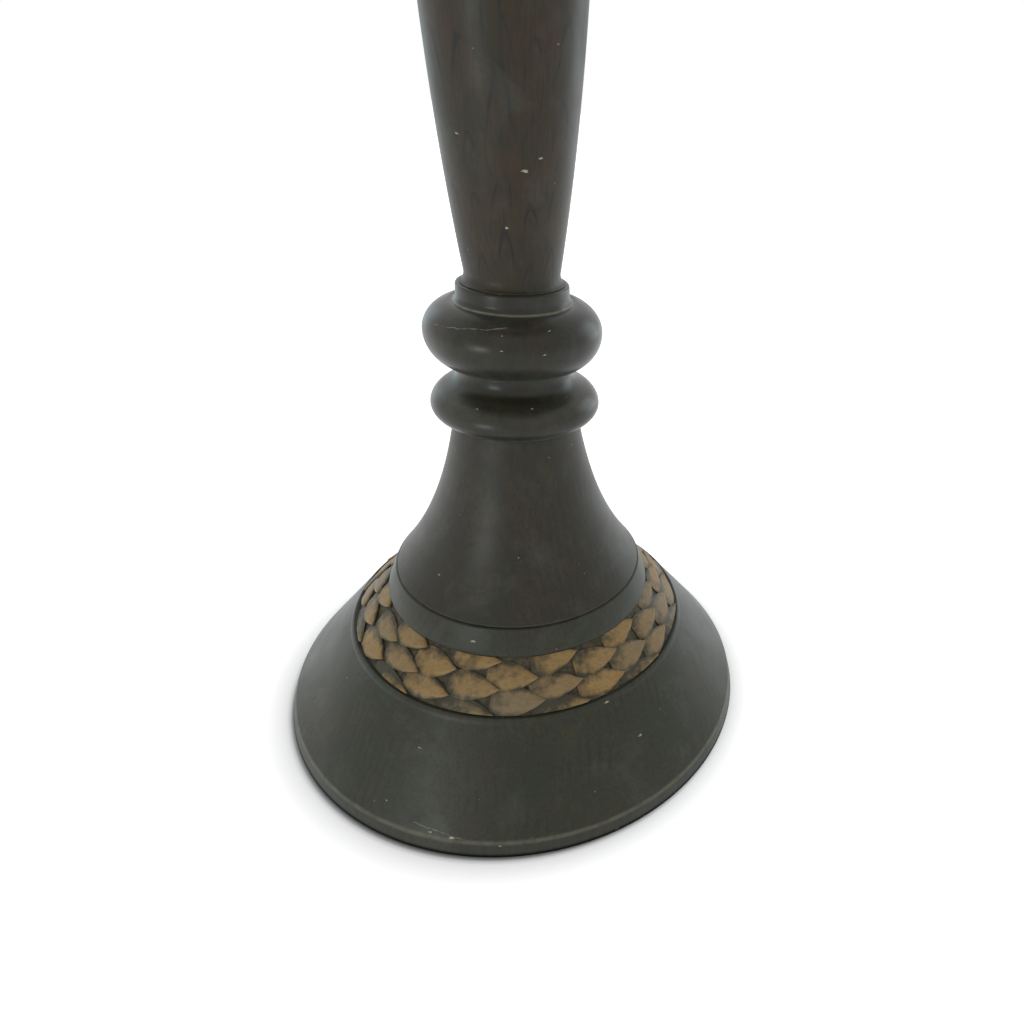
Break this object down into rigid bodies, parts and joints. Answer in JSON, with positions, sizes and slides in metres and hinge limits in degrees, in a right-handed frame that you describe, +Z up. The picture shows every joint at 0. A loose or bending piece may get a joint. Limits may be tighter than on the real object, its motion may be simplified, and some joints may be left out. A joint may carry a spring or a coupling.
{
  "type": "table lamp",
  "caption": "Turned and carved dark wood table lamp with a brass switched bayonet lampholder, pearl bulb and cream empire shade.",
  "frame": {"origin": "centre of the base pad's underside, on the surface that the lamp stands on", "axes": "+Z up along the lamp's axis, +Y to the back where the flex bush is, +X to the right seen from the front"},
  "size_m": [0.3424, 0.3424, 0.6498],
  "materials": {
    "stained_wood": "dark-stained turned hardwood, rubbed with wax to a satin sheen",
    "carved_wood": "the same stained hardwood, with the carved leaf band rubbed to golden brown",
    "baize": "thin dark baize pad",
    "steel": "zinc-plated steel",
    "brass": "aged lacquered brass",
    "brown_plastic": "brown moulded phenolic",
    "white_plastic": "off-white moulded insulator",
    "solder": "bright metal cap and solder",
    "black_glass": "black glass insulator",
    "pearl_glass": "pearl glass, inside frosted",
    "spring_steel": "bright spring wire",
    "shade_wire": "white-coated wire",
    "shade_cloth": "cream linen laminated on a stiff lining",
    "shade_binding": "cream woven binding"
  },
  "bodies": {
    "lamp_base": {"base_pad": "baize", "foot": "carved_wood", "cord_bush": "brown_plastic", "bell": "stained_wood", "knop": "stained_wood", "shaft": "stained_wood", "shaft_cap": "stained_wood", "lamp_pipe": "steel", "pipe_washer": "steel", "pipe_nut": "steel", "vase_cap": "brass", "lock_nut": "brass", "holder_cap": "brass", "holder_body": "brass", "holder_insulator": "white_plastic", "holder_skirt": "brass", "plunger_spring_left": "spring_steel", "plunger_spring_right": "spring_steel", "terminal_screw_front": "brass", "terminal_screw_back": "brass"},
    "switch": {"switch_bar": "brown_plastic"},
    "plunger_left_body": {"plunger_left": "brass"},
    "plunger_right_body": {"plunger_right": "brass"},
    "bulb": {"bulb_cap": "solder", "bulb_glass": "pearl_glass", "bulb_insulator": "black_glass", "bulb_contact_left": "solder", "bulb_contact_right": "solder"},
    "shade_ring_body": {"shade_ring": "brown_plastic"},
    "shade": {"shade_gimbal": "shade_wire", "shade_top_ring": "shade_wire", "shade_cover": "shade_cloth", "shade_bottom_trim": "shade_binding", "shade_top_trim": "shade_binding"}
  },
  "joints": [
    {"name": "switch_push", "type": "slide", "parent": "lamp_base", "child": "switch", "axis": [1, 0, 0], "range_m": [0, 0.006]},
    {"name": "bulb_push", "type": "slide", "parent": "lamp_base", "child": "bulb", "axis": [0, 0, -1], "range_m": [0, 0.0025], "stiffness_N_per_m": 2000, "springref_m": -0.002},
    {"name": "plunger_left_slide", "type": "slide", "parent": "lamp_base", "child": "plunger_left_body", "axis": [0, 0, -1], "range_m": [0, 0.0025], "deforming": ["plunger_spring_left"]},
    {"name": "plunger_right_slide", "type": "slide", "parent": "lamp_base", "child": "plunger_right_body", "axis": [0, 0, -1], "range_m": [0, 0.0025], "deforming": ["plunger_spring_right"]},
    {"name": "shade_ring_turn", "type": "hinge", "parent": "lamp_base", "child": "shade_ring_body", "pos_m": [0, 0, 0.488], "axis": [0, 0, 1], "range_deg": [0, 1080]},
    {"name": "shade_turn", "type": "hinge", "parent": "lamp_base", "child": "shade", "pos_m": [0, 0, 0.4835], "axis": [0, 0, 1], "continuous": true}
  ],
  "couplings": [
    {"joint": "plunger_left_slide", "follows": "bulb_push", "ratio": 1},
    {"joint": "plunger_right_slide", "follows": "bulb_push", "ratio": 1}
  ]
}
